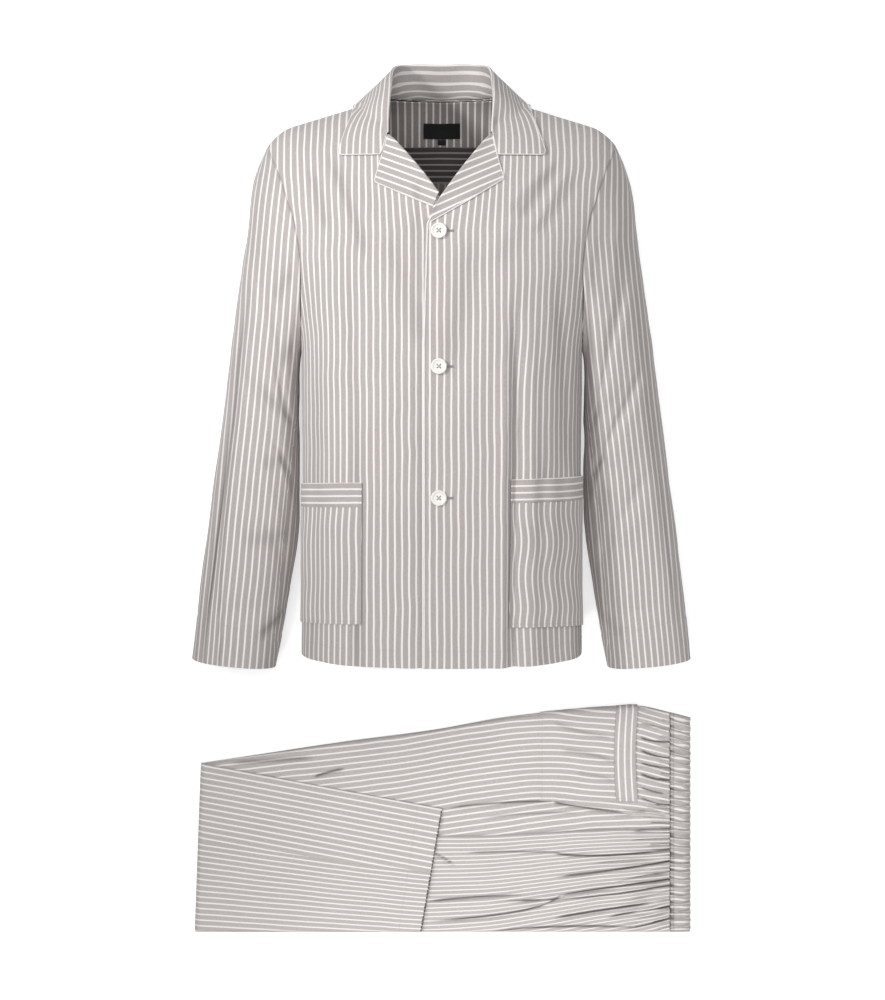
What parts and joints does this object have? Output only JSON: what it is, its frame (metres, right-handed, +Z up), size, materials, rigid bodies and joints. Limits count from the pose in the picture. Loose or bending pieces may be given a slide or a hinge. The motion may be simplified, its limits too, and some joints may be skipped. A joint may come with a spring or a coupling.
{
  "type": "pyjama set",
  "caption": "Striped pyjama set: a hollow, filled-out button-front jacket with a camp collar, lying on its back, and trousers folded flat below it.",
  "frame": {"origin": "on the surface that both garments lie on, at the bottom centre of the whole set's box", "axes": "+X towards the left of the wearer, +Y from the trousers towards the jacket's collar, +Z up from the surface"},
  "size_m": [0.6865, 1.1868, 0.2292],
  "materials": {
    "striped_cotton": "matt cotton, warm grey with narrow white stripes",
    "white_button": "satin, with four thread holes",
    "black_label": "bare woven satin"
  },
  "bodies": {
    "root": {"jacket_back": "striped_cotton", "jacket_yoke": "striped_cotton", "front_left": "striped_cotton", "front_right": "striped_cotton", "sleeve_left": "striped_cotton", "sleeve_right": "striped_cotton", "collar": "striped_cotton", "lapel_left": "striped_cotton", "lapel_right": "striped_cotton", "neck_facing": "striped_cotton", "neck_label": "black_label", "size_tab": "black_label", "pocket_left": "striped_cotton", "pocket_right": "striped_cotton", "pocket_band_left": "striped_cotton", "pocket_band_right": "striped_cotton", "button_top": "white_button", "button_middle": "white_button", "button_bottom": "white_button", "trousers_under_layers": "striped_cotton", "trousers_front": "striped_cotton", "trousers_back": "striped_cotton", "trousers_pocket": "striped_cotton", "trousers_pocket_band": "striped_cotton", "waistband": "striped_cotton", "lower_leg_upper": "striped_cotton", "lower_leg_lower": "striped_cotton"}
  },
  "joints": []
}
